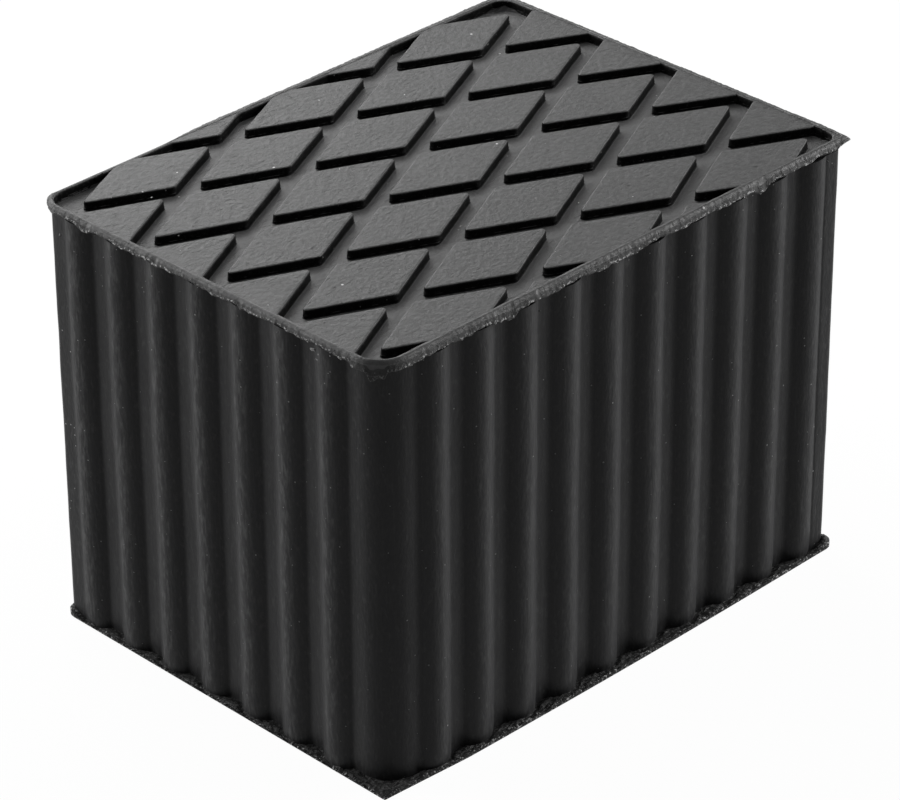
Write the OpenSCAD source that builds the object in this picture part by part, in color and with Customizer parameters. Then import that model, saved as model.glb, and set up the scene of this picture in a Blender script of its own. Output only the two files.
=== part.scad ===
// Car lift rubber pad: a solid moulded rubber block that stands on a lift platform and carries a
// vehicle's jacking point. Its four walls are ribbed from base to rim, and its top is a tread of
// raised diamonds. Millimetres, +Z up, origin at the middle of the underside, +X along the length.

/* [Block] */
// Length of the base, along X
block_l = 160; // [110:1:240]
// Width of the base, along Y
block_w = 120; // [90:1:180]
// Height from the underside to the top face
block_h = 120; // [40:1:200]

/* [Wall ribs] */
// Radius of the arc that each rib's face follows
rib_r = 7; // [5.5:0.1:9]
// How far a rib stands out from the flat between two ribs
rib_h = 2.3; // [1:0.1:3]
// How far the crests of the ribs lie inside the base outline
crest_inset = 0.75; // [0:0.05:2]
// Distance between ribs on the two long walls
long_pitch = 14.55; // [13:0.05:20]
// Distance between ribs on the two short walls
short_pitch = 14.85; // [13:0.05:20]
// From a squared corner to the middle of the first rib
rib_margin = 10.4; // [9:0.1:16]
// Least space that is left beside a rounded corner, to the middle of the last rib
round_margin = 16; // [12:0.5:24]

/* [Corners] */
// Radius of the two rounded corners, where each half of the mould is one piece
round_r = 8.5; // [2:0.5:14]
// Width of the flat post at the two squared corners, where the halves of the mould meet
post_w = 7; // [3:0.1:8]
// How far a post's face lies inside the base outline
post_inset = 1.4; // [0:0.1:2.5]
// Radius of a post's outer edge
post_r = 2; // [0.5:0.1:3]

/* [Tread] */
// Depth of the grooves between the diamonds
groove_d = 2.5; // [1:0.1:3]
// Width of the grooves
groove_w = 4.5; // [3:0.1:9]
// Distance between diamonds that lie end to end, along X
tread_pitch_x = 52.6; // [30:0.1:70]
// Distance between diamonds that lie side by side, along Y
tread_pitch_y = 25.9; // [20:0.1:40]
// Middle of the tread's first diamond, from the middle of the block along X
tread_x = -0.4; // [-20:0.1:20]
// Middle of the tread's first diamond, from the middle of the block along Y
tread_y = -1.6; // [-10:0.1:10]
// Radius of a diamond's two sharp ends
tip_r = 1; // [0.3:0.1:2]
// Radius of a diamond's two blunt corners
side_r = 2; // [0.5:0.1:5]
// How far the ends of the grooves lie inside the base outline
tread_inset = 1.8; // [1:0.1:6]
// Corner radius of the grooved field above the rounded corners
field_round_r = 5; // [1:0.5:12]
// Corner radius of the grooved field above the squared corners
field_square_r = 3; // [1:0.5:6]

/* [Rim and flash] */
// How far the rim's torn lip stands out past the base outline
lip_out = 0.7; // [0:0.1:2]
// How far inside the base outline the lip starts to slope down from the top face
lip_in = 0.95; // [0.2:0.05:1]
// How far the lip slopes down from the top face to its edge
lip_drop = 0.95; // [0.4:0.05:2]
// Thickness of the lip at its edge
lip_t = 0.8; // [0.4:0.1:1.5]
// Rubber left under a groove where it crosses the rim's sloping underside
rim_floor = 2.1; // [1.5:0.1:6]
// Thickness of the trimmed sheet of rubber left round the base
base_t = 1; // [0.4:0.1:3]

/* [Hidden] */
$fn = 96;
// Segments in each rounded corner of a diamond
arc_steps = 6;
// Extra reach of a cutting body past the face that it opens
cut_over = 1;

half_l = block_l / 2;
half_w = block_w / 2;
valley_inset = crest_inset + rib_h;
// Ribs on a long wall, and on a short one
long_ribs = floor((block_l - rib_margin - round_margin) / long_pitch) + 1;
short_ribs = floor((block_w - rib_margin - round_margin) / short_pitch) + 1;

// A diamond's place in the rhombic lattice: half pitches, the slope of its sides, and the distance
// from one groove's middle to the next, square to them
step_x = tread_pitch_x / 2;
step_y = tread_pitch_y / 2;
side_a = atan2(step_y, step_x);
row_gap = 2 * step_x * sin(side_a);
diamond_k = 1 - groove_w / row_gap;
// Lattice steps that reach past the block's edges from its first diamond
reach_x = ceil((half_l + abs(tread_x)) / step_x) + 1;
reach_y = ceil((half_w + abs(tread_y)) / step_y) + 1;

function arc(c, r, from, to) =
    [for (i = [0 : arc_steps]) let (a = from + (to - from) * i / arc_steps) c + r * [cos(a), sin(a)]];

// Outline of one raised diamond: four straight sides between two tight ends and two blunt corners
module diamond() {
    half_x = step_x * diamond_k;
    half_y = step_y * diamond_k;
    n = 90 - side_a;
    tip = half_x - tip_r / sin(side_a);
    side = half_y - side_r / cos(side_a);
    polygon(concat(
        arc([tip, 0], tip_r, -n, n),
        arc([0, side], side_r, n, 180 - n),
        arc([-tip, 0], tip_r, 180 - n, 180 + n),
        arc([0, -side], side_r, 180 + n, 360 - n)
    ));
}

// Takes the square corner at the origin back to a quarter round
module corner_waste(r) {
    difference() {
        translate([-cut_over, -cut_over]) square(r + cut_over);
        translate([r, r]) circle(r);
    }
}

// Rectangle centred on the origin. The corners at -X -Y and +X +Y take round_corner, the others
// take square_corner.
module cornered(l, w, round_corner, square_corner) {
    difference() {
        square([l, w], center = true);
        for (turn = [0, 180]) {
            rotate(turn) translate([-l / 2, -w / 2]) corner_waste(round_corner);
            rotate(turn) translate([l / 2, -w / 2]) rotate(90) corner_waste(square_corner);
        }
    }
}

// Ribs of the wall along -Y of a block w wide, set out from its squared end at +X
module rib_row(l, w, count, pitch) {
    for (i = [0 : count - 1])
        translate([l / 2 - rib_margin - i * pitch, -w / 2 + crest_inset + rib_r]) circle(rib_r);
}

// Plan of the walls: a core at the level of the flats, posts at the two squared corners, and ribs
module wall_plan() {
    cornered(block_l - 2 * valley_inset, block_w - 2 * valley_inset, round_r, post_r);
    for (turn = [0, 180]) rotate(turn) {
        rib_row(block_l, block_w, long_ribs, long_pitch);
        mirror([1, 1]) rib_row(block_w, block_l, short_ribs, short_pitch);
        translate([half_l - post_w, -half_w + post_inset])
            square([post_w - post_inset - post_r, post_w]);
        translate([half_l - post_w, -half_w + post_inset + post_r])
            square([post_w - post_inset, post_w - post_r]);
        translate([half_l - post_inset - post_r, -half_w + post_inset + post_r]) circle(post_r);
    }
}

// Plan of the grooves: the field inside the rim, less its diamonds
module groove_plan() {
    difference() {
        cornered(block_l - 2 * tread_inset, block_w - 2 * tread_inset, field_round_r, field_square_r);
        for (i = [-reach_x : reach_x], j = [-reach_y : reach_y])
            if ((i + j) % 2 == 0)
                translate([tread_x + i * step_x, tread_y + j * step_y]) diamond();
    }
}

// The rim as seen along one side of a block l long: flat past the grooved field, then down to the
// lip's thin edge, and back in below it to the flats between the ribs
module rim_profile(l) {
    edge = l / 2 + lip_out;
    crown = l / 2 - lip_in;
    root = l / 2 - valley_inset;
    polygon([
        [-root, block_h - groove_d - rim_floor],
        [root, block_h - groove_d - rim_floor],
        [edge, block_h - lip_drop - lip_t],
        [edge, block_h - lip_drop],
        [crown, block_h],
        [-crown, block_h],
        [-edge, block_h - lip_drop],
        [-edge, block_h - lip_drop - lip_t]
    ]);
}

// Plate that closes the block's top over its ribs, mitred where the slopes of its four sides meet
module rim() {
    reach_l = block_l + 2 * lip_out + 2 * cut_over;
    reach_w = block_w + 2 * lip_out + 2 * cut_over;
    intersection() {
        translate([0, reach_w / 2, 0]) rotate([90, 0, 0]) linear_extrude(reach_w) rim_profile(block_l);
        translate([-reach_l / 2, 0, 0]) rotate([90, 0, 90]) linear_extrude(reach_l) rim_profile(block_w);
    }
}

module pad() {
    color("#2b2b2c") difference() {
        union() {
            linear_extrude(base_t) square([block_l, block_w], center = true);
            linear_extrude(block_h - lip_drop) wall_plan();
            rim();
        }
        translate([0, 0, block_h - groove_d]) linear_extrude(groove_d + cut_over) groove_plan();
    }
}

pad();
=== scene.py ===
import math
import random

import bmesh
import bpy
from mathutils import Matrix, Vector, noise


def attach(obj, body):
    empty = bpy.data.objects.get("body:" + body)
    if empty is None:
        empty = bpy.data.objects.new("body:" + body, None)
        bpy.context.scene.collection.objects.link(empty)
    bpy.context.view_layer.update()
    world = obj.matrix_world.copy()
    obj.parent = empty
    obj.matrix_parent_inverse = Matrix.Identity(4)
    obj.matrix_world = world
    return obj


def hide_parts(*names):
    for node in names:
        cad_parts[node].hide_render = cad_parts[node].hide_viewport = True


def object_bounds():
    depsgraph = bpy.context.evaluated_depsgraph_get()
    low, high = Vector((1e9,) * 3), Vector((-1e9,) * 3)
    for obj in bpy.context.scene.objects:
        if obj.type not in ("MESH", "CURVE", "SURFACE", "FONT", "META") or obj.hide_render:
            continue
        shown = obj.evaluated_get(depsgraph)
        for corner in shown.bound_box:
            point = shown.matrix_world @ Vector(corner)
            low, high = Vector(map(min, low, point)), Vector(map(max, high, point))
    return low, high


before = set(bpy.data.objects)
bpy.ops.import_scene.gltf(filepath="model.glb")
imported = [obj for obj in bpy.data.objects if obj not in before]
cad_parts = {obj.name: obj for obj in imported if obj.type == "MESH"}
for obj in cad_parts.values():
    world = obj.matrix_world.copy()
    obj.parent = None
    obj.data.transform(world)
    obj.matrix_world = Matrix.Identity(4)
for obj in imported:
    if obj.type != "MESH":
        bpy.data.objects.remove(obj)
cad_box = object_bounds()

# Camera
# It looks down on the near corner of the block from the front left, as the photograph does, with a
# long lens and a slight lean.
CAMERA_PLACE = Vector((-0.6632, -0.6859, 0.6111))
CAMERA_AZIMUTH = math.radians(-44.03)
CAMERA_ELEVATION = math.radians(30.32)
CAMERA_LEAN = math.radians(-1.10)
CAMERA_LENS = 175.5
CAMERA_SENSOR = 36
CAMERA_FAR = 50
bpy.ops.object.camera_add(location=CAMERA_PLACE)
camera = bpy.context.object
camera.name = "camera"
camera.matrix_world = (
    Matrix.Translation(CAMERA_PLACE)
    @ Matrix.Rotation(CAMERA_AZIMUTH, 4, "Z")
    @ Matrix.Rotation(math.pi / 2 - CAMERA_ELEVATION, 4, "X")
    @ Matrix.Rotation(CAMERA_LEAN, 4, "Z")
)
camera.data.sensor_width = CAMERA_SENSOR
camera.data.lens = CAMERA_LENS
camera.data.clip_end = CAMERA_FAR
bpy.context.scene.camera = camera
bpy.context.scene.view_settings.view_transform = "Standard"


# Floor and studio
# A white sweep of matt paper, lit from above and from behind on both sides. The camera and
# reflections see it white, while its bounce on the object is that of pale paper.
def linear(hex_colour):
    """Turns an sRGB hex colour to the linear values that Blender works in."""
    parts = [int(hex_colour[i:i + 2], 16) / 255 for i in (1, 3, 5)]
    return [c / 12.92 if c <= 0.04045 else ((c + 0.055) / 1.055) ** 2.4 for c in parts] + [1]


def add_node(tree, kind, sets=None, links=None):
    """Adds a node, sets its properties or input values, and links outputs of other nodes to it."""
    node = tree.nodes.new(kind)
    for key, value in (sets or {}).items():
        if isinstance(key, str) and hasattr(node, key):
            setattr(node, key, value)
        else:
            node.inputs[key].default_value = value
    for key, source in (links or {}).items():
        tree.links.new(source, node.inputs[key])
    return node


def white_when_seen(tree):
    """Gives 1 for camera, mirror and glass rays, and 0 for the light that lands on the object."""
    path = add_node(tree, "ShaderNodeLightPath")
    mirrored = add_node(tree, "ShaderNodeMath", {"operation": "MAXIMUM"},
                        {0: path.outputs["Is Glossy Ray"], 1: path.outputs["Is Transmission Ray"]})
    return add_node(tree, "ShaderNodeMath", {"operation": "MAXIMUM"},
                    {0: path.outputs["Is Camera Ray"], 1: mirrored.outputs[0]}).outputs[0]


FLOOR_SIZE = 6
FLOOR_LEVEL = -0.0001
SHADOW_SHARE = 0.03
WHITE = "#ffffff"
PAPER_GREY = "#7a7a7a"
ROOM_GREY = "#3a3a3a"
bpy.ops.mesh.primitive_plane_add(size=FLOOR_SIZE, location=(0, 0, FLOOR_LEVEL))
floor = bpy.context.object
floor.name = "floor"
bpy.ops.object.transform_apply(location=True)
paper = bpy.data.materials.new("white_paper")
paper.use_nodes = True
tree = paper.node_tree
tree.nodes.clear()
looked_at = add_node(tree, "ShaderNodeLightPath").outputs["Is Camera Ray"]
shade = add_node(tree, "ShaderNodeMix", {"data_type": "RGBA"}, {0: looked_at})
shade.inputs[6].default_value = linear(PAPER_GREY)
shade.inputs[7].default_value = linear(WHITE)
plain = add_node(tree, "ShaderNodeBsdfDiffuse", links={"Color": shade.outputs[2]})
bright = add_node(tree, "ShaderNodeEmission", {"Color": linear(WHITE), "Strength": 1.0})
seen = add_node(tree, "ShaderNodeMath", {"operation": "MULTIPLY", 1: 1 - SHADOW_SHARE},
                {0: white_when_seen(tree)})
both = add_node(tree, "ShaderNodeMixShader",
                links={0: seen.outputs[0], 1: plain.outputs[0], 2: bright.outputs[0]})
add_node(tree, "ShaderNodeOutputMaterial", links={"Surface": both.outputs[0]})
floor.data.materials.append(paper)

world = bpy.data.worlds.new("studio")
bpy.context.scene.world = world
world.use_nodes = True
tree = world.node_tree
tree.nodes.clear()
tone = add_node(tree, "ShaderNodeMix", {"data_type": "RGBA"}, {0: white_when_seen(tree)})
tone.inputs[6].default_value = linear(ROOM_GREY)
tone.inputs[7].default_value = linear(WHITE)
sky = add_node(tree, "ShaderNodeBackground", {"Strength": 1.0}, {"Color": tone.outputs[2]})
add_node(tree, "ShaderNodeOutputWorld", links={"Surface": sky.outputs[0]})


def lamp(name, place, target, size, watts):
    """Hangs a rectangular soft lamp at a place, facing a target."""
    bpy.ops.object.light_add(type="AREA", location=place)
    light = bpy.context.object
    light.name = name
    light.data.shape = "RECTANGLE"
    light.data.size, light.data.size_y = size
    light.data.energy = watts
    light.rotation_euler = (Vector(place) - Vector(target)).to_track_quat("Z", "Y").to_euler()


UPPER_PART = (0, 0, 0.10)
LOWER_PART = (0, 0, 0.05)
lamp("overhead", (-0.02, 0.30, 0.60), UPPER_PART, (0.5, 0.5), 0.9)
lamp("right", (1.29, -0.50, 0.33), LOWER_PART, (0.5, 1.0), 31)
lamp("left", (-0.63, 1.23, 0.33), LOWER_PART, (0.6, 1.0), 23)
lamp("back", (0.14, 0.42, 0.36), UPPER_PART, (0.4, 0.3), 1.6)


# Ribbed walls
# The sides of a solid block of black rubber, pressed in a fluted mould that parts at the two
# squared corners. They keep the frame's own section, with the fillets and the slight sway that
# thick rubber takes as it cures and cools.
HALF_LENGTH = 0.080
HALF_WIDTH = 0.060
SECTION_HEIGHT = 0.060
WALL_FOOT = 0.0005
WALL_TOP = 0.1159
VALLEY_TOP = 0.1157
LEAN = 0.0005
FOOT_TUCK = 0.0002
FOOT_TUCK_HEIGHT = 0.0035
OUTLINE_STEP = 0.00047
FILLET_PASSES = 2
WALL_LEVELS = 46
# From a rib's crest to the hollow beside it, as depths inside the base outline
CREST_DEPTH = 0.0009
HOLLOW_DEPTH = 0.0018
# Dust lies on the crests, out to where it fades, and mostly on the wall at the left
DUST_DEPTH = 0.0013
DUST_FADE = 0.0005
LEFT_WALL_DEPTH = 0.002
OTHER_WALLS_DUST = 0.3
# Length and depth of the slow sway and of the finer flow marks
SWAY = (0.030, 0.0005)
FLOW = (0.009, 0.00012)
FLAT = math.radians(0.5)
SAME_PLACE = 1e-6


def open_for_edit(piece):
    """Opens one piece by itself in edit mode, with nothing on it selected."""
    if bpy.context.object and bpy.context.object.mode == "EDIT":
        bpy.ops.object.mode_set(mode="OBJECT")
    bpy.ops.object.select_all(action="DESELECT")
    piece.select_set(True)
    bpy.context.view_layer.objects.active = piece
    bpy.ops.object.mode_set(mode="EDIT")
    bpy.ops.mesh.select_mode(type="VERT")
    bpy.ops.mesh.select_all(action="DESELECT")


def pick(kind, wanted):
    """Selects those verts, edges or faces of the open piece for which wanted() is true."""
    bpy.ops.mesh.select_mode(type={"verts": "VERT", "edges": "EDGE", "faces": "FACE"}[kind])
    bpy.ops.mesh.select_all(action="DESELECT")
    mesh = bmesh.from_edit_mesh(bpy.context.edit_object.data)
    for element in getattr(mesh, kind):
        if wanted(element):
            element.select_set(True)
    bmesh.update_edit_mesh(bpy.context.edit_object.data)


def split_long_edges(step):
    """Cuts each edge of the open piece into equal lengths of at most step."""
    mesh = bmesh.from_edit_mesh(bpy.context.edit_object.data)
    parts = {math.ceil(edge.calc_length() / step) for edge in mesh.edges}
    for count in sorted(parts - {1}, reverse=True):
        pick("edges", lambda edge: math.ceil(edge.calc_length() / step) == count)
        bpy.ops.mesh.subdivide(number_cuts=count - 1)


def copy_of_frame(name):
    """Makes a new piece from the frame's solid, its loose triangles joined, and opens it."""
    piece = bpy.data.objects.new(name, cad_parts["pad"].data.copy())
    bpy.context.collection.objects.link(piece)
    open_for_edit(piece)
    bpy.ops.mesh.select_all(action="SELECT")
    bpy.ops.mesh.remove_doubles(threshold=SAME_PLACE)
    return piece


def ripple(piece, name, size, depth):
    """Moves a piece's surface in and out by up to half of depth, in soft patches of a given size."""
    texture = bpy.data.textures.new(name, "CLOUDS")
    texture.noise_scale = size
    wave = piece.modifiers.new(name, "DISPLACE")
    wave.texture = texture
    wave.texture_coords = "LOCAL"
    wave.strength = depth
    bpy.ops.object.modifier_apply(modifier=name)


walls = copy_of_frame("ribbed_walls")
bpy.ops.mesh.bisect(plane_co=(0, 0, SECTION_HEIGHT), plane_no=(0, 0, 1),
                    clear_inner=True, clear_outer=True)
bpy.ops.mesh.select_all(action="SELECT")
bpy.ops.mesh.dissolve_limited(angle_limit=FLAT)
split_long_edges(OUTLINE_STEP)
bpy.ops.mesh.select_all(action="SELECT")
bpy.ops.mesh.vertices_smooth(factor=0.5, repeat=FILLET_PASSES)
bpy.ops.transform.translate(value=(0, 0, WALL_FOOT - SECTION_HEIGHT))
bpy.ops.mesh.extrude_edges_move(TRANSFORM_OT_translate={"value": (0, 0, WALL_TOP - WALL_FOOT)})
pick("edges", lambda edge: abs(edge.verts[0].co.z - edge.verts[1].co.z) > SAME_PLACE)
bpy.ops.mesh.subdivide(number_cuts=WALL_LEVELS)
for end in (WALL_FOOT, WALL_TOP):
    pick("edges", lambda edge: all(abs(vert.co.z - end) < SAME_PLACE for vert in edge.verts))
    bpy.ops.mesh.edge_face_add()
bpy.ops.mesh.select_all(action="SELECT")
bpy.ops.mesh.normals_make_consistent(inside=False)
bpy.ops.object.mode_set(mode="OBJECT")
crest = walls.data.attributes.new("crest", "FLOAT", "POINT")
for vert in walls.data.vertices:
    inset = min(HALF_LENGTH - abs(vert.co.x), HALF_WIDTH - abs(vert.co.y))
    share = min(max((inset - CREST_DEPTH) / (HOLLOW_DEPTH - CREST_DEPTH), 0), 1)
    top = WALL_TOP + (VALLEY_TOP - WALL_TOP) * share
    vert.co.z = WALL_FOOT + (vert.co.z - WALL_FOOT) * (top - WALL_FOOT) / (WALL_TOP - WALL_FOOT)
    tuck = FOOT_TUCK * max(0, 1 - vert.co.z / FOOT_TUCK_HEIGHT) ** 2
    vert.co.x *= 1 - tuck / HALF_LENGTH
    vert.co.y *= 1 - tuck / HALF_WIDTH
    leftward = 1 if vert.co.x < -HALF_LENGTH + LEFT_WALL_DEPTH else OTHER_WALLS_DUST
    crest.data[vert.index].value = leftward * min(max((DUST_DEPTH - inset) / DUST_FADE, 0), 1)
    lean = LEAN * (2 * vert.co.z / WALL_TOP - 1)
    vert.co.x += lean
    vert.co.y -= lean
ripple(walls, "sway", *SWAY)
ripple(walls, "flow", *FLOW)
bpy.ops.object.shade_smooth_by_angle(angle=math.radians(60))


PATCH_SHIFT = (3.1, 7.7, 1.3)
DOT_SHIFT = (2.3, 5.9, 4.1)


def patches(tree, size, stretch, detail, low, high, seed=0):
    """Soft patches of about the given size in metres, as a value from 0 to 1: 0 where the noise is
    under low, 1 where it is over high. Each seed shifts the pattern to another place."""
    spot = add_node(tree, "ShaderNodeTexCoord").outputs["Object"]
    laid = add_node(tree, "ShaderNodeMapping", {
        "Scale": [1 / (size * part) for part in stretch],
        "Location": [seed * shift for shift in PATCH_SHIFT]}, {"Vector": spot})
    cloud = add_node(tree, "ShaderNodeTexNoise", {"Scale": 1.0, "Detail": detail, "Roughness": 0.6},
                     {"Vector": laid.outputs[0]})
    return add_node(tree, "ShaderNodeMapRange", {"From Min": low, "From Max": high},
                    {"Value": cloud.outputs[0]}).outputs[0]


def dots(tree, cell, radius, sharpness, seed=0):
    """Scattered round dots: one for each cell, up to the given radius, both in metres."""
    spot = add_node(tree, "ShaderNodeTexCoord").outputs["Object"]
    laid = add_node(tree, "ShaderNodeMapping", {
        "Scale": [1 / cell] * 3, "Location": [seed * shift for shift in DOT_SHIFT]}, {"Vector": spot})
    cells = add_node(tree, "ShaderNodeTexVoronoi", {"Scale": 1.0}, {"Vector": laid.outputs[0]})
    chance = add_node(tree, "ShaderNodeSeparateColor", links={0: cells.outputs["Color"]})
    size = add_node(tree, "ShaderNodeMath", {"operation": "MULTIPLY", 1: radius / cell},
                    {0: chance.outputs[0]})
    depth = add_node(tree, "ShaderNodeMath", {"operation": "SUBTRACT"},
                     {0: size.outputs[0], 1: cells.outputs["Distance"]})
    dot = add_node(tree, "ShaderNodeMath", {
        "operation": "MULTIPLY", 1: sharpness * cell / radius, "use_clamp": True}, {0: depth.outputs[0]})
    return dot.outputs[0]


def lay_over(tree, under, over, amount, share=1.0):
    """Lays one colour over another by an amount, at most by the given share."""
    part = add_node(tree, "ShaderNodeMath", {"operation": "MULTIPLY", 1: share}, {0: amount})
    mix = add_node(tree, "ShaderNodeMix", {"data_type": "RGBA"}, {0: part.outputs[0]})
    for socket, colour in ((6, under), (7, over)):
        if isinstance(colour, str):
            mix.inputs[socket].default_value = linear(colour)
        else:
            tree.links.new(colour, mix.inputs[socket])
    return mix.outputs[2]


RUBBER_IOR = 1.52


def new_finish(name, roughness, gloss):
    """Starts a rubber finish with one roughness and specular level, and gives its node tree."""
    finish = bpy.data.materials.new(name)
    finish.use_nodes = True
    shader = finish.node_tree.nodes["Principled BSDF"]
    shader.inputs["Roughness"].default_value = roughness
    shader.inputs["Specular IOR Level"].default_value = gloss
    shader.inputs["IOR"].default_value = RUBBER_IOR
    return finish, finish.node_tree, shader


# Moulded rubber: black vulcanised rubber as it leaves a fluted steel mould, satin and slightly
# streaked along the ribs, with dust on the crests and the fine grain of the tool's surface. The
# grain is drawn at 0.7 mm, coarser than the tool's, so that it shows.
moulded, tree, shader = new_finish("moulded_rubber", 0.45, 0.12)
# Clouds 12 mm wide, drawn out up the wall as the rubber flowed into the mould
colour = lay_over(tree, "#1b1b1c", "#262627", patches(tree, 0.012, (1, 1, 3.5), 4, 0.3, 0.7))
grain = patches(tree, 0.0007, (1, 1, 2.5), 2, 0.35, 0.65, 2)
colour = lay_over(tree, colour, "#2f2f2f", grain, 0.5)
# Hairlines 0.6 mm apart that the polished flutes of the mould left
hairlines = patches(tree, 0.0006, (1, 1, 28), 2, 0.5, 0.75, 11)
colour = lay_over(tree, colour, "#3f3f3f", hairlines, 0.35)
# Wisps of bloom about 1 mm wide, and dust in streaks of the same width on the crests
wisps = patches(tree, 0.0011, (1, 1, 2.4), 5, 0.54, 0.74, 20)
colour = lay_over(tree, colour, "#6a6a6a", wisps, 0.22)
crests = add_node(tree, "ShaderNodeAttribute", {"attribute_name": "crest"}).outputs["Fac"]
streaks = patches(tree, 0.0010, (1, 1, 4), 5, 0.48, 0.72, 3)
dust = add_node(tree, "ShaderNodeMath", {"operation": "MULTIPLY"}, {0: crests, 1: streaks})
colour = lay_over(tree, colour, "#848484", dust.outputs[0], 0.32)
# Specks of up to 0.2 mm, one in each 2.7 mm
colour = lay_over(tree, colour, "#b4b4b4", dots(tree, 0.0027, 0.00022, 12), 0.8)
tree.links.new(colour, shader.inputs["Base Color"])
fine = add_node(tree, "ShaderNodeBump", {"Strength": 0.5, "Distance": 0.00006}, {"Height": grain})
tree.links.new(fine.outputs[0], shader.inputs["Normal"])
walls.data.materials.clear()
walls.data.materials.append(moulded)
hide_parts("pad")
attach(walls, "root")

# Diamond tread
# The top of the same moulding, where the mould was engraved with crossing grooves. It keeps the
# frame's pattern, with its corner ends opened and rounded, rounded lips, soft hollows at the floor
# and a faint bead along each groove wall, and the whole face has swelled to a slight crown.
CAD_TOP = 0.120
GROOVE_DEPTH = 0.0025
FLASH_INSET = 0.00095
CROWN = 0.0009
SLAB_DEPTH = 0.0028
SLAB_TAPER = 0.0008
LIP_ROUND = 0.0006
FLOOR_ROUND = 0.0004
BEAD_DEPTH = 0.0018
BEAD_HALF = 0.00014
BEAD_OUT = 0.00016
TREAD_CELL = 0.0025
NEAR_CORNER_ROUND = 0.0075
LEFT_CORNER_ROUND = 0.0060
EDGE_WAVE = 0.00012
EDGE_WAVE_LENGTH = 0.003
CORNER_CUTS = (18, 36, 54, 72)
GROOVE_FLOOR = CAD_TOP - GROOVE_DEPTH
# The pattern's middle, half of its pitch along X and Y, and how many halves from the middle the
# last groove before a corner crosses over
TREAD_MIDDLE = (-0.0004, -0.0016)
HALF_PITCH = (0.0263, 0.01295)
LAST_GROOVE = (2.5, 4.5)
# Corners that the grooves open right out: side in X and Y, reach in X and Y, and corner radius
OPEN_ENDS = (
    (-1, 1, 0.0783, 0.0583, 0.0045),
    (1, 1, 0.0783, 0.0583, 0.0045),
    (1, -1, 0.0783, 0.0583, 0.0035),
)
CUTTER_SIZE = Vector((0.020, 0.010, GROOVE_DEPTH + 0.001))
CLOSE = 1e-5
CUT_MERGE = 3e-6
SHARP = 1.0
BEAD_BAND = 5e-5
LEFT_FACING = 0.1
LEVEL_FACING = 0.8
OTHER_WAVE = Vector((40, 0, 0))
EDGE_X = HALF_LENGTH - FLASH_INSET
EDGE_Y = HALF_WIDTH - FLASH_INSET


def crown_height(x, y):
    """How far the swelled face stands above its level at the rim."""
    return CROWN * (1 - (x / HALF_LENGTH) ** 2) * (1 - (y / HALF_WIDTH) ** 2)


tread = copy_of_frame("diamond_tread")
cuts = [(Vector((0, 0, CAD_TOP - SLAB_DEPTH)), Vector((0, 0, -1)))]
for away in (Vector((1, 0, 0)), Vector((-1, 0, 0)), Vector((0, 1, 0)), Vector((0, -1, 0))):
    cuts.append((Vector((away.x * EDGE_X, away.y * EDGE_Y, 0)), away))
for radius, side_y in ((NEAR_CORNER_ROUND, -1), (LEFT_CORNER_ROUND, 1)):
    middle = Vector((-EDGE_X + radius, side_y * (EDGE_Y - radius), 0))
    for degrees in CORNER_CUTS:
        angle = math.radians(degrees)
        away = Vector((-math.cos(angle), side_y * math.sin(angle), 0))
        cuts.append((middle + away * radius, away))
for place, away in cuts:
    bpy.ops.mesh.select_all(action="SELECT")
    bpy.ops.mesh.bisect(plane_co=place, plane_no=away, use_fill=True, clear_outer=True)
bpy.ops.object.mode_set(mode="OBJECT")
for side_x, side_y, edge_x, edge_y, corner_round in OPEN_ENDS:
    bpy.ops.object.select_all(action="DESELECT")
    place = Vector((side_x * (edge_x - CUTTER_SIZE.x / 2), side_y * (edge_y - CUTTER_SIZE.y / 2),
                    GROOVE_FLOOR + CUTTER_SIZE.z / 2))
    bpy.ops.mesh.primitive_cube_add(size=1, location=place)
    cutter = bpy.context.object
    cutter.scale = CUTTER_SIZE
    bpy.ops.object.transform_apply(location=True, scale=True)
    open_for_edit(cutter)
    pick("edges", lambda edge: all(
        abs(abs(vert.co.x) - edge_x) < CLOSE and abs(abs(vert.co.y) - edge_y) < CLOSE
        for vert in edge.verts))
    bpy.ops.mesh.bevel(offset=corner_round, segments=8, affect="EDGES")
    across = Vector((side_x * HALF_PITCH[1], side_y * HALF_PITCH[0], 0)).normalized()
    groove = Vector((TREAD_MIDDLE[0] + side_x * LAST_GROOVE[0] * HALF_PITCH[0],
                     TREAD_MIDDLE[1] + side_y * LAST_GROOVE[1] * HALF_PITCH[1], 0))
    bpy.ops.mesh.select_all(action="SELECT")
    bpy.ops.mesh.bisect(plane_co=groove, plane_no=across, use_fill=True, clear_inner=True)
    bpy.ops.object.mode_set(mode="OBJECT")
    opening = tread.modifiers.new("open_end", "BOOLEAN")
    opening.operation = "DIFFERENCE"
    opening.solver = "EXACT"
    opening.object = cutter
    bpy.context.view_layer.objects.active = tread
    bpy.ops.object.modifier_apply(modifier="open_end")
    bpy.data.objects.remove(cutter)
open_for_edit(tread)
bpy.ops.mesh.select_all(action="SELECT")
bpy.ops.mesh.remove_doubles(threshold=CUT_MERGE)
bpy.ops.mesh.dissolve_limited(angle_limit=FLAT)


def on_cut(vert):
    """True on the sides where the slab was cut from the frame's solid."""
    return any(abs((vert.co - place).dot(away)) < CLOSE for place, away in cuts)


def pick_groove_edges(height):
    """Picks the sharp edges of the grooves at one height."""
    pick("edges", lambda edge: all(abs(vert.co.z - height) < CLOSE for vert in edge.verts)
         and edge.calc_face_angle(0) > SHARP and not all(on_cut(vert) for vert in edge.verts))


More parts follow.
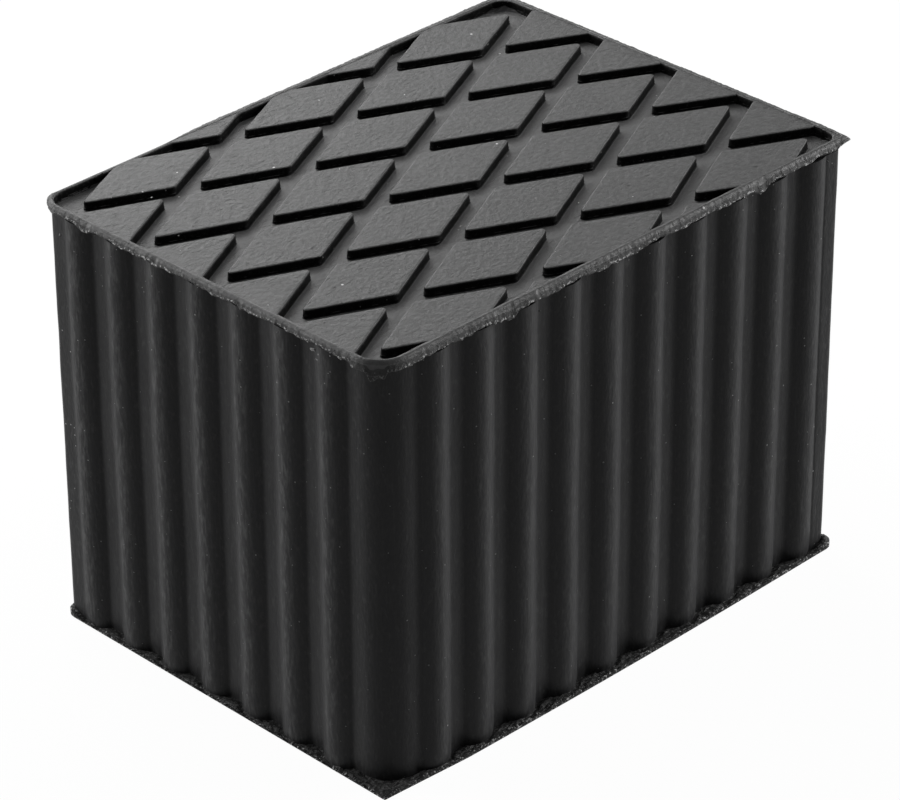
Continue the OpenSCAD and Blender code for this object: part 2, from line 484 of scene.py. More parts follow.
pick_groove_edges(CAD_TOP)
bpy.ops.mesh.bevel(offset=LIP_ROUND, segments=4, profile=0.5, affect="EDGES", clamp_overlap=False)
pick_groove_edges(GROOVE_FLOOR)
bpy.ops.mesh.bevel(offset=FLOOR_ROUND, segments=3, profile=0.5, affect="EDGES", clamp_overlap=False)
for height in (BEAD_DEPTH - BEAD_HALF, BEAD_DEPTH, BEAD_DEPTH + BEAD_HALF):
    bpy.ops.mesh.select_all(action="SELECT")
    bpy.ops.mesh.bisect(plane_co=(0, 0, CAD_TOP - height), plane_no=(0, 0, 1))
pick("verts", lambda vert: abs(vert.co.z - CAD_TOP + BEAD_DEPTH) < SAME_PLACE and not on_cut(vert))
bpy.ops.transform.shrink_fatten(value=BEAD_OUT)
for axis, reach in ((0, HALF_LENGTH), (1, HALF_WIDTH)):
    for i in range(1, int(2 * reach / TREAD_CELL)):
        place = Vector()
        away = Vector()
        place[axis] = -reach + i * TREAD_CELL
        away[axis] = 1
        bpy.ops.mesh.select_all(action="SELECT")
        bpy.ops.mesh.bisect(plane_co=place, plane_no=away)
bpy.ops.mesh.select_all(action="SELECT")
bpy.ops.mesh.remove_doubles(threshold=CLOSE)
bpy.ops.mesh.normals_make_consistent(inside=False)
bpy.ops.object.mode_set(mode="OBJECT")
# The bead's painted highlight, kept to the groove walls that face left
bead_highlight = tread.data.attributes.new("bead_highlight", "FLOAT", "POINT")
faces_left = [vert.normal.x < LEFT_FACING for vert in tread.data.vertices]
for vert in tread.data.vertices:
    on_bead = abs(vert.co.z - CAD_TOP + BEAD_DEPTH) < BEAD_BAND
    bead_highlight.data[vert.index].value = 1 if on_bead and faces_left[vert.index] else 0
    if vert.co.z < CAD_TOP - SLAB_DEPTH + SAME_PLACE:
        vert.co.x = min(max(vert.co.x, SLAB_TAPER - EDGE_X), EDGE_X - SLAB_TAPER)
        vert.co.y = min(max(vert.co.y, SLAB_TAPER - EDGE_Y), EDGE_Y - SLAB_TAPER)
    spot = vert.co / EDGE_WAVE_LENGTH
    vert.co.x += EDGE_WAVE * noise.noise(spot)
    vert.co.y += EDGE_WAVE * noise.noise(spot + OTHER_WAVE)
    vert.co.z += crown_height(vert.co.x, vert.co.y) - CROWN
bpy.ops.object.shade_smooth_by_angle(angle=math.radians(40))
even = tread.modifiers.new("even", "WEIGHTED_NORMAL")
even.keep_sharp = True
bpy.ops.object.modifier_apply(modifier="even")

# Trodden rubber: the same rubber with the grey bloom and ground-in dust of a face that is walked
# and driven on, mottled, with a few pits and wrinkles darkened as painted shade, and bright grains of
# grit. The floors of the grooves are painted lighter as painted light, and the step of the rim carries a
# painted highlight.
# Painted light: below this height the groove floors are lightened, fading in over this depth, to make up
# for the shade and sheen that the groove walls keep off them
FLOOR_LIGHT_TOP = 0.1184
FLOOR_LIGHT_FADE = 0.0003
trodden, tree, shader = new_finish("trodden_rubber", 0.5, 0.25)
# Broad stains 12 mm wide under a mottle of 1.4 mm
colour = lay_over(tree, "#2b2b2b", "#373737", patches(tree, 0.012, (1, 1, 1), 5, 0.3, 0.7, 4))
mottle = patches(tree, 0.0014, (1, 1, 1), 5, 0.38, 0.66, 5)
colour = lay_over(tree, colour, "#4a4a4a", mottle, 0.65)
# Wrinkles 1 mm wide and 2.6 mm long, darkened as painted shade
shaded_wrinkles = patches(tree, 0.0010, (2.6, 1, 1), 5, 0.56, 0.70, 21)
colour = lay_over(tree, colour, "#1e1e1e", shaded_wrinkles, 0.6)
spot = add_node(tree, "ShaderNodeTexCoord").outputs["Object"]
height = add_node(tree, "ShaderNodeSeparateXYZ", links={0: spot}).outputs["Z"]
# Painted light on the floors of the grooves
floor_painted_light = add_node(tree, "ShaderNodeMapRange", {
    "From Min": FLOOR_LIGHT_TOP, "From Max": FLOOR_LIGHT_TOP - FLOOR_LIGHT_FADE}, {"Value": height})
colour = lay_over(tree, colour, "#626262", floor_painted_light.outputs[0], 0.75)
# Painted highlight: a thin light line along the step of the rim
step_highlights = add_node(tree, "ShaderNodeAttribute", {"attribute_name": "step_highlight"}).outputs["Fac"]
colour = lay_over(tree, colour, "#a4a4a4", step_highlights, 0.6)
# Pits of up to 1.2 mm, one in each 13 mm, darkened as painted shade, and grains of grit of up to 0.4 mm,
# one in each 6 mm
shaded_pits = dots(tree, 0.0130, 0.0012, 4, 6)
colour = lay_over(tree, colour, "#151515", shaded_pits, 0.8)
colour = lay_over(tree, colour, "#d0d0d0", dots(tree, 0.0058, 0.00036, 8, 7), 0.9)
tree.links.new(colour, shader.inputs["Base Color"])
sunk = add_node(tree, "ShaderNodeMath", {"operation": "ADD"}, {0: shaded_pits, 1: shaded_wrinkles})
raised = add_node(tree, "ShaderNodeMath", {"operation": "SUBTRACT"}, {0: mottle, 1: sunk.outputs[0]})
fine = add_node(tree, "ShaderNodeBump", {"Strength": 0.65, "Distance": 0.00013},
                {"Height": raised.outputs[0]})
tree.links.new(fine.outputs[0], shader.inputs["Normal"])

# Engraved rubber: the sides of the grooves as they left the engraved plate, with the steeper half of each
# rounded lip.
# They are painted near black, darker than the outer walls, as painted shade in the grooves, apart from a
# broken line of painted highlight along the bead and bright specks painted as glints. Its clouds are 3 mm
# wide, its lumps 0.9 mm, and the breaks in the bead come each 3 mm.
engraved, tree, shader = new_finish("engraved_rubber", 0.45, 0.03)
colour = lay_over(tree, "#0a0a0a", "#131313", patches(tree, 0.003, (1, 1, 1), 4, 0.35, 0.65, 12))
colour = lay_over(tree, colour, "#3c3c3c", patches(tree, 0.0009, (1, 1, 1), 4, 0.54, 0.72, 22), 0.6)
# Painted highlight: a broken light line along the bead
bead_highlights = add_node(tree, "ShaderNodeAttribute", {"attribute_name": "bead_highlight"}).outputs["Fac"]
broken = patches(tree, 0.0028, (1, 1, 1), 5, 0.48, 0.62, 13)
glint = add_node(tree, "ShaderNodeMath", {"operation": "MULTIPLY"}, {0: bead_highlights, 1: broken})
colour = lay_over(tree, colour, "#868686", glint.outputs[0], 0.8)
# Painted glints: bright specks of up to 0.26 mm, one in each 3 mm
colour = lay_over(tree, colour, "#a0a0a0", dots(tree, 0.0030, 0.00026, 8, 14), 0.8)
tree.links.new(colour, shader.inputs["Base Color"])
tread.data.materials.clear()
tread.data.materials.append(trodden)
tread.data.materials.append(engraved)
# Painted shade: every face tilted further from level than LEVEL_FACING, the groove walls and the steeper
# half of each lip, takes the near-black engraved finish
for face in tread.data.polygons:
    face.material_index = 1 if face.normal.z < LEVEL_FACING else 0
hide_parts("pad")
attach(tread, "root")

# Torn rim
# The thin sheet of rubber that squeezed out between the plates of the mould, torn off by hand. It
# starts at a slight step round the tread, lies flat on the far sides, hangs over the hollows
# between ribs on the near ones, and keeps a pointed nib at one squared corner.
RIM_LEVEL = CAD_TOP - CROWN
RIM_POINT_STEP = 0.00040
RIM_CORNERS = (NEAR_CORNER_ROUND, 0.0004, 0.002, LEFT_CORNER_ROUND)
# Length along the rim of each kind of unevenness
NICK_LENGTH = 0.0009
CHIP_LENGTH = 0.0021
TONGUE_LENGTH = 0.0035
WANDER_LENGTH = 0.0055
SAG_LENGTH = 0.012
# How far the lip stands out past the tread's edge, and how much each unevenness adds
RIM_REACH = 0.00115
NEAR_REACH = 0.0004
CHIP_REACH = 0.0001
WANDER_REACH = 0.00016
NICK_REACH = 0.00008
NEAR_NICK_REACH = 0.00010
# How far the lip hangs below the step, and how much each unevenness adds on the near sides
RIM_DROP = 0.00015
NEAR_DROP = 0.0009
HOLLOW_DROP = 0.0004
WANDER_DROP = 0.0002
CHIP_DROP = 0.00025
NICK_DROP = 0.00012
FRONT_DROP = 0.0008
SAG_DROP = 0.0007
TONGUE_DROP = 0.0012
# The gap behind the lip, from a crest of the wall to a hollow. A ray measures it, from a start
# outside the wall, and it is evened out over a few points to each side.
CREST_GAP = 0.0002
HOLLOW_GAP = 0.0017
UNMEASURED_GAP = 0.002
RAY_RUN = 0.01
RAY_HEIGHT = 0.1
HOLLOW_SPREAD = 3
# Outward directions over which the near, front and far left sides take on their own form
NEAR_TURN = (-0.2, 0.9)
FRONT_TURN = (0.5, 0.95)
TRIM_TURN = (0.5, 0.9)
TONGUE_CHANCE = (0.12, 0.5)
# A flap at the near corner: where it hangs, half its width and how far it drops
FLAP_DEGREES = 220
FLAP_HALF = 0.0022
FLAP_FULL = 0.6
FLAP_DROP = 0.0021
# The nib at the right corner: its length along the rim, reach and drop
NIB_LENGTH = 0.0035
NIB_TIP = 0.0003
NIB_REACH = 0.00162
NIB_DROP = 0.0011
NIB_THINNING = 0.6
# The far left edge, where the sheet was trimmed close, and how near the corner that stops
TRIM_START = 0.024
TRIM_END = 0.045
TRIM_CORNER = (0.002, 0.006)
TRIMMED_REACH = 0.0002
# The section through the rim, each place as far outwards and upwards from the tread's edge
RIM_INSIDE = ((-0.0005, -0.0030), (-0.0005, -0.0006), (-0.00010, -0.00010), (0.0, 0.00002))
STEP_FOOT = 0.00008
STEP_WIDTH = 0.00020
STEP_HEIGHT = 0.00022
STEP_ROUND = 0.00003
LIP_SHARES = (0.2, 0.4, 0.58, 0.74, 0.88, 1.0)
LIP_BEND = 2.4
LIP_THICK = 0.00055
LIP_THICK_WAVE = 0.0002
LIP_THICK_LENGTH = 0.0016
LIP_EDGE = ((0.00003, 0.35), (-0.00005, 0.75), (-0.00025, 1.0))
UNDER_SHARE = 0.3
LEAST_ROOT = 0.0021
ROOT_OVER = 0.0002
ROOT_TURN = 0.0006
RIM_ROOT = 0.0035
# Rows of the section, counted from inside
STEP_ROW = 4
FIRST_TORN_ROW = 9
GRAINED_ROWS = range(10, 16)
LIP_ROWS = (11, 12)
FIRST_UNDER_ROW = 14
TORN_GRAIN = 0.00012
TORN_GRAIN_LENGTH = 0.0006
# Stretches of the step that carry a painted highlight, and of the lip whose burst grains carry painted
# glints
STEP_HIGHLIGHT_LENGTH = 0.005
STEP_HIGHLIGHT_CHANCE = (-0.3, 0.3)
LIP_GLINT_LENGTH = 0.004
LIP_GLINT_CHANCE = (-0.6, 0.0)
BOX_MARGIN = 0.00003
LEAST_TURNS = 6
ROUGH_SHIFT = (17.3, 5.1, 9.7)


def outline(half_x, half_y, radii, step):
    """Points at even steps round a rectangle, anticlockwise from its corner at -X -Y, each with
    its outward direction. The four radii round its corners in the same order."""
    spots = []

    def run_to(spot):
        """Adds points on the straight side from the last corner up to a spot."""
        last, out_before = spots[-1]
        runs = math.ceil((spot - last).length / step)
        spots.extend([(last.lerp(spot, k / runs), out_before.copy()) for k in range(1, runs)])

    ends = ((-1, -1, 180), (1, -1, 270), (1, 1, 0), (-1, 1, 90))
    for (side_x, side_y, start), radius in zip(ends, radii):
        middle = Vector((side_x * (half_x - radius), side_y * (half_y - radius), 0))
        turns = max(LEAST_TURNS, math.ceil(radius * math.pi / 2 / step))
        for i in range(turns + 1):
            angle = math.radians(start + 90 * i / turns)
            out = Vector((math.cos(angle), math.sin(angle), 0))
            if i == 0 and spots:
                run_to(middle + out * radius)
            spots.append((middle + out * radius, out))
    run_to(spots[0][0])
    return spots


def ramp(value, low, high):
    """Goes smoothly from 0 at low to 1 at high."""
    share = min(max((value - low) / (high - low), 0), 1)
    return share * share * (3 - 2 * share)


def rough(spot, size, seed):
    """Smooth random value from -1 to 1, with features of about the given size."""
    return noise.noise(spot / size + Vector([seed * shift for shift in ROUGH_SHIFT]))


spots = outline(EDGE_X, EDGE_Y, RIM_CORNERS, RIM_POINT_STEP)
wall_gap = []
for spot, out in spots:
    start = spot + out * RAY_RUN + Vector((0, 0, RAY_HEIGHT))
    hit, place, normal, index = walls.ray_cast(start, -out)
    wall_gap.append((start - place).length - RAY_RUN if hit else UNMEASURED_GAP)
flap_out = Vector((math.cos(math.radians(FLAP_DEGREES)), math.sin(math.radians(FLAP_DEGREES)), 0))
flap_middle = Vector((NEAR_CORNER_ROUND - EDGE_X, NEAR_CORNER_ROUND - EDGE_Y, 0))
flap_spot = flap_middle + flap_out * NEAR_CORNER_ROUND
nib_spot = Vector((EDGE_X, -EDGE_Y, 0))
left_spot = Vector((-EDGE_X, EDGE_Y, 0))
sections = []
for i, (spot, out) in enumerate(spots):
    near = ramp(-out.x - out.y, *NEAR_TURN)
    front = ramp(-out.y, *FRONT_TURN)
    nearby = [wall_gap[(i + k) % len(spots)] for k in range(-HOLLOW_SPREAD, HOLLOW_SPREAD + 1)]
    hollow = sum(ramp(gap, CREST_GAP, HOLLOW_GAP) for gap in nearby) / len(nearby)
    nick = rough(spot, NICK_LENGTH, 1)
    chip = rough(spot, CHIP_LENGTH, 6)
    wander = rough(spot, WANDER_LENGTH, 2)
    tongue = near * hollow * ramp(rough(spot, TONGUE_LENGTH, 3), *TONGUE_CHANCE)
    flap = ramp((spot - flap_spot).length, FLAP_HALF, FLAP_HALF * FLAP_FULL)
    nib = ramp((spot - nib_spot).length, NIB_LENGTH, NIB_TIP)
    trimmed = ramp(out.y, *TRIM_TURN) * ramp(-spot.x, TRIM_START, TRIM_END)
    trimmed *= ramp((spot - left_spot).length, *TRIM_CORNER)
    reach = RIM_REACH + near * (NEAR_REACH + CHIP_REACH * chip) + WANDER_REACH * wander
    reach += (NICK_REACH + NEAR_NICK_REACH * near) * nick
    reach += nib * (NIB_REACH - reach)
    reach /= 1 + nib * (max(abs(out.x), abs(out.y)) - 1)
    reach -= trimmed * (reach - TRIMMED_REACH)
    drop = RIM_DROP + near * (NEAR_DROP + HOLLOW_DROP * hollow + WANDER_DROP * wander
                              + CHIP_DROP * chip + NICK_DROP * nick)
    drop += front * (FRONT_DROP + SAG_DROP * rough(spot, SAG_LENGTH, 5))
    drop += TONGUE_DROP * tongue + FLAP_DROP * flap
    drop += nib * (NIB_DROP - drop)
    step_up = STEP_HEIGHT * (1 - trimmed)
    thick = LIP_THICK + LIP_THICK_WAVE * rough(spot, LIP_THICK_LENGTH, 4)
    thick *= 1 - NIB_THINNING * nib
    root = -max(LEAST_ROOT, wall_gap[i]) - ROOT_OVER
    section = [*RIM_INSIDE, (STEP_FOOT, step_up - STEP_ROUND), (STEP_WIDTH, step_up)]
    for share in LIP_SHARES:
        section.append((STEP_WIDTH + (reach - STEP_WIDTH) * share, step_up - drop * share ** LIP_BEND))
    edge = step_up - drop
    section += [(reach + further, edge - part * thick) for further, part in LIP_EDGE]
    under = UNDER_SHARE * (edge - thick) - (1 - UNDER_SHARE) * RIM_ROOT
    section += [((reach + root) / 2, under), (root, -RIM_ROOT), (root - ROOT_TURN, -RIM_ROOT - ROOT_OVER)]
    sections.append(section)
bpy.ops.object.select_all(action="DESELECT")
rows = len(sections[0])
bpy.ops.mesh.primitive_grid_add(x_subdivisions=len(spots), y_subdivisions=rows)
rim = bpy.context.object
rim.name = "torn_rim"
step_highlight = rim.data.attributes.new("step_highlight", "FLOAT", "POINT")
lip = rim.data.attributes.new("lip", "FLOAT", "POINT")
for vert in rim.data.vertices:
    k, i = divmod(vert.index, len(spots) + 1)
    spot, out = spots[i % len(spots)]
    reach, height = sections[i % len(spots)][k % rows]
    place = spot + out * reach + Vector((0, 0, RIM_LEVEL + height))
    if k in GRAINED_ROWS:
        for axis in range(3):
            place[axis] += TORN_GRAIN * rough(place, TORN_GRAIN_LENGTH, 11 + axis)
    place.x = min(max(place.x, cad_box[0][0] + BOX_MARGIN), cad_box[1][0] - BOX_MARGIN)
    place.y = min(max(place.y, cad_box[0][1] + BOX_MARGIN), cad_box[1][1] - BOX_MARGIN)
    vert.co = place
    step_highlight_share = ramp(rough(spot, STEP_HIGHLIGHT_LENGTH, 14), *STEP_HIGHLIGHT_CHANCE)
    lip_glint_share = ramp(rough(spot, LIP_GLINT_LENGTH, 15), *LIP_GLINT_CHANCE)
    step_highlight.data[vert.index].value = step_highlight_share if k == STEP_ROW else 0
    lip.data[vert.index].value = lip_glint_share if k in LIP_ROWS else 0
for face in rim.data.polygons:
    row = min(vert // (len(spots) + 1) for vert in face.vertices)
    face.material_index = 2 if row >= FIRST_UNDER_ROW else 1 if row >= FIRST_TORN_ROW else 0
open_for_edit(rim)
bpy.ops.mesh.select_all(action="SELECT")
bpy.ops.mesh.remove_doubles(threshold=SAME_PLACE)
bpy.ops.mesh.normals_make_consistent(inside=False)
bpy.ops.object.mode_set(mode="OBJECT")
bpy.ops.object.shade_smooth_by_angle(angle=math.radians(50))

# Torn rubber: where the sheet of flash was pulled off, so it is rough and grey, with pale burst
# grains along the torn lip that carry painted glints, and pores between them darkened as painted shade.
torn, tree, shader = new_finish("torn_rubber", 0.55, 0.15)
# Stains 4 mm wide, pores and burst grains with painted glints of 0.6 mm, and specks of up to 0.24 mm
colour = lay_over(tree, "#343434", "#4c4c4c", patches(tree, 0.004, (1, 1, 1), 4, 0.3, 0.7, 8))
# Painted shade: the pores are darkened
shaded_pores = patches(tree, 0.0006, (1, 1, 1), 3, 0.54, 0.68, 10)
colour = lay_over(tree, colour, "#161616", shaded_pores, 0.6)
grains = patches(tree, 0.0006, (1, 1, 1), 3, 0.52, 0.64, 9)
# Painted glints on the burst grains of the torn lip
lips = add_node(tree, "ShaderNodeAttribute", {"attribute_name": "lip"}).outputs["Fac"]
burst_lip = add_node(tree, "ShaderNodeMath", {"operation": "MULTIPLY"}, {0: lips, 1: grains})
colour = lay_over(tree, colour, "#e0e0e0", burst_lip.outputs[0], 0.9)
colour = lay_over(tree, colour, "#a0a0a0", dots(tree, 0.0024, 0.00024, 8, 15), 0.7)
tree.links.new(colour, shader.inputs["Base Color"])
fine = add_node(tree, "ShaderNodeBump", {"Strength": 0.7, "Distance": 0.00012}, {"Height": grains})
tree.links.new(fine.outputs[0], shader.inputs["Normal"])
for finish in (trodden, torn, moulded):
    rim.data.materials.append(finish)
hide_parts("pad")
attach(rim, "root")

# Base flash
# The sheet of rubber that squeezed out at the foot of the mould, cut along the block's four sides
# with a knife by hand. Its top is torn and granular, and it curls up at the squared corners.
BASE_THICK = 0.0010
LEDGE_WIDTH = 0.0060
LEDGE_CELL = 0.00042
# Insets between which the brink of the cut edge begins, and the height at which the foot of the
# wall behind the ledge is looked for
BRINK = (0.0012, 0.0001)
FOOT_HEIGHT = 0.002
# The sheet is plain below this share of its height, and where less than this share of the ledge
# comes out from under the wall. Its cut edge keeps its line up to this inset.
UNDERSIDE = 0.1
UNDER_WALL = 0.02
CUT_EDGE = 0.0001
# The front edge was cut short by the near corner, and bows out along the rest of its length
FRONT_BOW = 0.00065
FRONT_BOW_LENGTH = 0.128
FRONT_SHORT = 0.0018
FRONT_SHORT_LENGTH = 0.026
# The left edge bows out most at the near corner, and was thinned by the knife
LEFT_BOW = 0.00062
LEFT_BOW_FALL = 0.5
LEFT_THIN = 0.0006
LEFT_THIN_WIDTH = 0.003
LEAST_THICK = 0.0001
# Side in X and Y, corner radius and how far the corner curls up
BASE_CORNERS = ((1, -1, 0.0030, 0.0019), (-1, 1, 0.0035, 0.0022), (-1, -1, 0.0008, 0), (1, 1, 0.0010, 0))
HIGHEST_CURL = 0.0022
CURL_REACH = 0.0075
CURL_TOP = 0.0020
CURL_FADE = (-0.001, 0.002)
# Depth and size of the two sorts of grain, the lumps and the sideways grain, and the crease that
# the ledge has where it meets the wall
COARSE_GRAIN = (0.00034, 0.0010)
FINE_GRAIN = (0.00020, 0.00045)
LUMPS = (0.00025, 0.004)
SIDE_GRAIN = (0.0001, 0.0007)
CREASE_DEPTH = 0.0003
CREASE_WIDTH = (0.0010, 0.0001)
# An edge as long as this share of a side or of the ledge counts as running all along it
WHOLE_EDGE = 0.8
bpy.ops.object.select_all(action="DESELECT")
bpy.ops.mesh.primitive_cube_add(size=1, location=(0, 0, BASE_THICK / 2))
base = bpy.context.object
base.name = "base_flash"
base.scale = (2 * HALF_LENGTH, 2 * HALF_WIDTH, BASE_THICK)
bpy.ops.object.transform_apply(location=True, scale=True)
open_for_edit(base)
pick("faces", lambda face: face.normal.z > LEVEL_FACING)
bpy.ops.mesh.inset(thickness=LEDGE_WIDTH)
for axis in (0, 1):
    length = 2 * (HALF_LENGTH, HALF_WIDTH)[axis]
    pick("edges", lambda edge:
         abs(edge.verts[0].co[axis] - edge.verts[1].co[axis]) > WHOLE_EDGE * length)
    bpy.ops.mesh.subdivide(number_cuts=round(length / LEDGE_CELL))
pick("edges", lambda edge: min(vert.co.z for vert in edge.verts) > BASE_THICK / 2
     and edge.calc_length() > WHOLE_EDGE * LEDGE_WIDTH)
bpy.ops.mesh.subdivide(number_cuts=round(LEDGE_WIDTH / LEDGE_CELL))
pick("edges", lambda edge: abs(edge.verts[0].co.z - edge.verts[1].co.z) > BASE_THICK / 2)
bpy.ops.mesh.subdivide(number_cuts=2)
bpy.ops.object.mode_set(mode="OBJECT")
brink_glint = base.data.attributes.new("brink_glint", "FLOAT", "POINT")
for vert in base.data.vertices:
    spot = vert.co.copy()
    height = spot.z / BASE_THICK
    inset = min(HALF_LENGTH - abs(spot.x), HALF_WIDTH - abs(spot.y))
    outer = min(max(1 - inset / LEDGE_WIDTH, 0), 1)
    # The painted glints lie along the brink of the cut edge
    brink_glint.data[vert.index].value = ramp(inset, *BRINK)
    if height > UNDERSIDE and outer > UNDER_WALL:
        hit, foot, normal, index = walls.closest_point_on_mesh(Vector((spot.x, spot.y, FOOT_HEIGHT)))
        crease = ramp((foot - Vector((spot.x, spot.y, foot.z))).length, *CREASE_WIDTH)
        curl = 0
        for side_x, side_y, radius, lift in BASE_CORNERS:
            corner = Vector((side_x * HALF_LENGTH, side_y * HALF_WIDTH, spot.z))
            curl = max(curl, lift * ramp((spot - corner).length, CURL_REACH, CURL_TOP))
        grain = COARSE_GRAIN[0] * rough(spot, COARSE_GRAIN[1], 21)
        grain += FINE_GRAIN[0] * rough(spot, FINE_GRAIN[1], 22)
        lump = LUMPS[0] * rough(spot, LUMPS[1], 23) - CREASE_DEPTH * crease
        thinned = LEFT_THIN * ramp(-spot.x, HALF_LENGTH - LEFT_THIN_WIDTH, HALF_LENGTH)
        vert.co.z += height * (grain + lump + curl * ramp(inset, *CURL_FADE))
        vert.co.z -= height * thinned * (1 - curl / HIGHEST_CURL)
        vert.co.z = max(vert.co.z, height * LEAST_THICK)
        if inset > CUT_EDGE:
            vert.co.x += SIDE_GRAIN[0] * rough(spot, SIDE_GRAIN[1], 24)
            vert.co.y += SIDE_GRAIN[0] * rough(spot, SIDE_GRAIN[1], 25)
    along = spot.x + HALF_LENGTH
    bow_share = min(max((along - FRONT_SHORT_LENGTH) / FRONT_BOW_LENGTH, 0), 1)
    bow = FRONT_BOW * math.sin(math.pi * bow_share)
    bow -= FRONT_SHORT * max(1 - along / FRONT_SHORT_LENGTH, 0)
    vert.co.y -= bow * outer * ramp(-spot.y, HALF_WIDTH - LEDGE_WIDTH, HALF_WIDTH)
    left_bow = LEFT_BOW * (1 - LEFT_BOW_FALL * (spot.y + HALF_WIDTH) / (2 * HALF_WIDTH))
    vert.co.x -= left_bow * outer * ramp(-spot.x, HALF_LENGTH - LEDGE_WIDTH, HALF_LENGTH)
    for side_x, side_y, radius, lift in BASE_CORNERS:
        in_x = side_x * vert.co.x - HALF_LENGTH + radius
        in_y = side_y * vert.co.y - HALF_WIDTH + radius
        if in_x > 0 and in_y > 0:
            pull = max(in_x, in_y) / math.hypot(in_x, in_y)
            vert.co.x = side_x * (HALF_LENGTH - radius + in_x * pull)
            vert.co.y = side_y * (HALF_WIDTH - radius + in_y * pull)

# Granular rubber: the burst, crumbly skin of the cut flash, nearly black, with worm-like grey
# ridges, and bright grains along the brink where the knife opened it, painted as glints.
granular, tree, shader = new_finish("granular_rubber", 0.6, 0.10)
# Stains 3 mm wide, ridges of 0.8 mm and opened grains of 0.7 mm with painted glints
colour = lay_over(tree, "#131313", "#242424", patches(tree, 0.003, (1, 1, 1), 4, 0.3, 0.7, 16))
ridges = patches(tree, 0.0008, (1, 1, 1), 3, 0.5, 0.66, 17)
colour = lay_over(tree, colour, "#5c5c5c", ridges, 0.6)
grains = patches(tree, 0.0007, (1, 1, 1), 3, 0.56, 0.66, 18)
brink_glints = add_node(tree, "ShaderNodeAttribute", {"attribute_name": "brink_glint"}).outputs["Fac"]
edge_glints = add_node(tree, "ShaderNodeMath", {"operation": "MULTIPLY"}, {0: brink_glints, 1: grains})
colour = lay_over(tree, colour, "#d8d8d8", edge_glints.outputs[0], 0.9)
tree.links.new(colour, shader.inputs["Base Color"])
fine = add_node(tree, "ShaderNodeBump", {"Strength": 0.7, "Distance": 0.00012}, {"Height": ridges})
tree.links.new(fine.outputs[0], shader.inputs["Normal"])
base.data.materials.clear()
base.data.materials.append(granular)
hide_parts("pad")
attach(base, "root")

# Crumbs of flash
# Burst scraps of the torn sheet that still cling under the near rim and on the walls below it, and
# a few grains of grit trodden into the tread. Each is a small closed flake.
CRUMB_SEED = 6039
RIM_CRUMBS = 110
WALL_CRUMBS = 40
RIM_CRUMB_SIZE = (0.00030, 0.00080)
WALL_CRUMB_SIZE = (0.00025, 0.00050)
# Width and thickness of a crumb as shares of its length
RIM_CRUMB_WIDTH = (0.4, 1)
RIM_CRUMB_THICK = (0.4, 0.8)
WALL_CRUMB_THICK = (0.5, 1)
# Rows of the rim's section on which crumbs sit, and the directions that count as near
CRUMB_ROWS = (11, 12, 13)
NEAR_SIDE = 0.6
CRUMB_SUNK = 0.0001
BIG_CRUMB_PLACE = Vector((-0.0800, -0.0379, 0.1156))
BIG_CRUMB_SIZE = (0.0009, 0.0022, 0.0008)
# Where crumbs on the walls lie: none above this height, and ever fewer over this fall below it
WALL_CRUMB_TOP = 0.1165
WALL_CRUMB_FALL = 0.012
CRUMB_TILT = 0.6
CRUMB_GRAIN = 0.00012
CRUMB_GRAIN_LENGTH = 0.0006
GRIT_SIZE = 0.00042
GRIT_SPREAD = (0.8, 1.3)
GRIT_SHAPE = Vector((1, 0.8, 0.7))
GRIT_PLACES = (
    (-0.0609, -0.0249), (-0.0571, -0.0328), (-0.0600, -0.0315), (-0.0772, -0.0199), (-0.0739, -0.0352),
    (-0.0201, -0.0254), (-0.0136, -0.0522), (-0.0130, -0.0499), (0.0080, -0.0373), (-0.0673, 0.0470),
    (-0.0606, 0.0399), (-0.0691, 0.0205),
)
chance = random.Random(CRUMB_SEED)
near_rim = [i for i, (spot, out) in enumerate(spots) if -out.x - out.y > NEAR_SIDE]
places = []
for n in range(RIM_CRUMBS):
    i = chance.choice(near_rim)
    spot, out = spots[i]
    reach, height = sections[i][chance.choice(CRUMB_ROWS)]
    size = chance.uniform(*RIM_CRUMB_SIZE)
    width = size * chance.uniform(*RIM_CRUMB_WIDTH)
    thick = size * chance.uniform(*RIM_CRUMB_THICK)
    place = spot + out * (reach - CRUMB_SUNK) + Vector((0, 0, RIM_LEVEL + height))
    places.append((place, Vector((size, width, thick))))
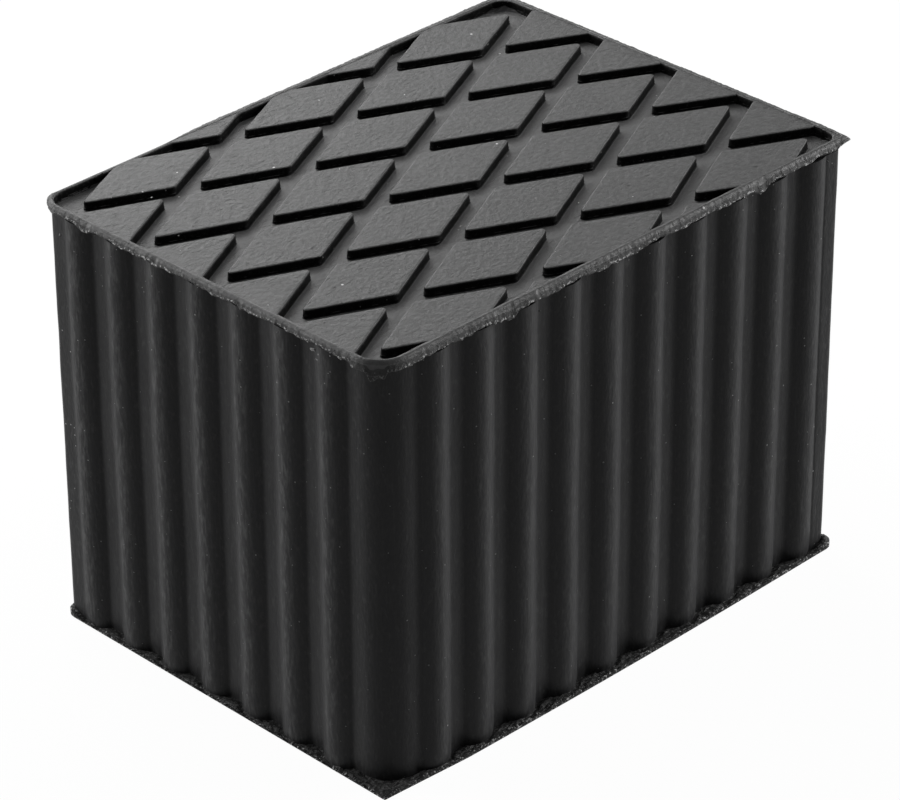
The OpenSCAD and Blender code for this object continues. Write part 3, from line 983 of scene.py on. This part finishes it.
for n in range(WALL_CRUMBS):
    spot, out = spots[chance.choice(near_rim)]
    height = WALL_CRUMB_TOP - WALL_CRUMB_FALL * chance.random() ** 2
    start = spot + out * RAY_RUN + Vector((0, 0, height))
    hit, place, normal, index = walls.ray_cast(start, -out)
    size = chance.uniform(*WALL_CRUMB_SIZE)
    if hit:
        places.append((place, Vector((size, size, size * chance.uniform(*WALL_CRUMB_THICK)))))
for x, y in GRIT_PLACES:
    place = Vector((x, y, RIM_LEVEL + crown_height(x, y)))
    places.append((place, GRIT_SHAPE * GRIT_SIZE * chance.uniform(*GRIT_SPREAD)))
bpy.ops.object.select_all(action="DESELECT")
bpy.ops.mesh.primitive_ico_sphere_add(subdivisions=1, radius=0.5)
crumbs = bpy.context.object
crumbs.name = "crumbs_of_flash"
flake = crumbs.data.copy()
crumbs.data.transform(Matrix.Translation(BIG_CRUMB_PLACE) @ Matrix.Diagonal((*BIG_CRUMB_SIZE, 1)))
for place, size in places:
    turn = Matrix.Rotation(chance.uniform(0, math.tau), 4, "Z")
    turn = turn @ Matrix.Rotation(chance.uniform(-CRUMB_TILT, CRUMB_TILT), 4, "X")
    copy = bpy.data.objects.new("crumb", flake.copy())
    copy.data.transform(Matrix.Translation(place) @ turn @ Matrix.Diagonal((*size, 1)))
    bpy.context.collection.objects.link(copy)
    copy.select_set(True)
bpy.ops.object.join()
for vert in crumbs.data.vertices:
    for axis in range(3):
        vert.co[axis] += CRUMB_GRAIN * rough(vert.co, CRUMB_GRAIN_LENGTH, 31 + axis)
    for axis in (0, 1):
        low, high = cad_box[0][axis] + BOX_MARGIN, cad_box[1][axis] - BOX_MARGIN
        vert.co[axis] = min(max(vert.co[axis], low), high)

# Burst rubber: the pale, crushed skin of a torn crumb, whose light parts also stand as painted glints
# for the light its facets break. The light and dark parts are 1 mm apart.
burst, tree, shader = new_finish("burst_rubber", 0.35, 0.4)
colour = lay_over(tree, "#3a3a3a", "#d0d0d0", patches(tree, 0.0010, (1, 1, 1), 3, 0.42, 0.62, 19))
tree.links.new(colour, shader.inputs["Base Color"])
crumbs.data.materials.append(burst)
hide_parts("pad")
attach(crumbs, "root")
